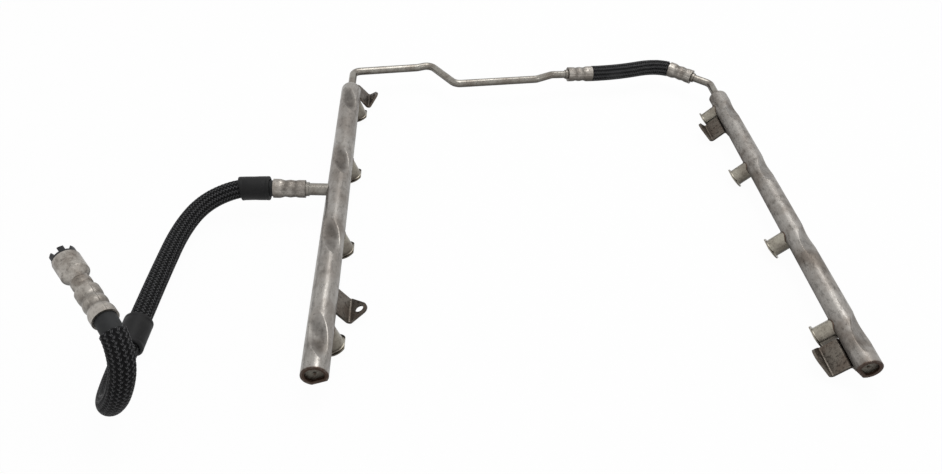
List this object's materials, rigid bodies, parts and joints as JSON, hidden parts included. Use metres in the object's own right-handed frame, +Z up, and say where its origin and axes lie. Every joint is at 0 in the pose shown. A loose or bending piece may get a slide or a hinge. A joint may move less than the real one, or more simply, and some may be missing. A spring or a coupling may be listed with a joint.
{
  "type": "fuel rail",
  "caption": "Dimpled D-section steel fuel rails with injector cups and mounting ears, joined by a crossover pipe and hose, with a sleeved feed hose and quick connector.",
  "frame": {"origin": "on the surface that the part lies on, under the middle of the rigid part's box, measured without the feed hose and what is on it", "axes": "+Z up; +Y along the rails from their plugged ends to the crossover; +X from the rail with the feed hose to the other rail"},
  "size_m": [0.5561, 0.4835, 0.0959],
  "materials": {
    "rail_steel": "satin, stained",
    "cup_steel": "satin",
    "bracket_steel": "satin, darkened",
    "plug_steel": "satin with braze",
    "pipe_steel": "satin",
    "ferrule_steel": "satin",
    "hose_rubber": "matte",
    "mesh_sleeve": "braided",
    "collar_rubber": "matte",
    "connector_steel": "satin",
    "seal_rubber": "matte",
    "retainer_plastic": "matte"
  },
  "bodies": {
    "root": {"connector_body": "connector_steel", "connector_retainer": "retainer_plastic", "connector_seals": "seal_rubber", "crossover_elbow": "pipe_steel", "crossover_hose": "hose_rubber", "crossover_left_ferrule": "ferrule_steel", "crossover_pipe": "pipe_steel", "crossover_right_ferrule": "ferrule_steel", "crossover_sleeve": "mesh_sleeve", "feed_end_ferrule": "ferrule_steel", "feed_ferrule": "ferrule_steel", "feed_hose": "hose_rubber", "feed_lower_collar": "collar_rubber", "feed_sleeve": "mesh_sleeve", "feed_stub": "pipe_steel", "feed_upper_collar": "collar_rubber", "left_end_plug": "plug_steel", "left_far_bracket": "bracket_steel", "left_injector_cup_1": "cup_steel", "left_injector_cup_2": "cup_steel", "left_injector_cup_3": "cup_steel", "left_injector_cup_4": "cup_steel", "left_near_bracket": "bracket_steel", "left_rail_tube": "rail_steel", "right_end_plug": "plug_steel", "right_far_bracket": "bracket_steel", "right_injector_cup_1": "cup_steel", "right_injector_cup_2": "cup_steel", "right_injector_cup_3": "cup_steel", "right_injector_cup_4": "cup_steel", "right_near_bracket": "bracket_steel", "right_rail_tube": "rail_steel"}
  },
  "joints": []
}
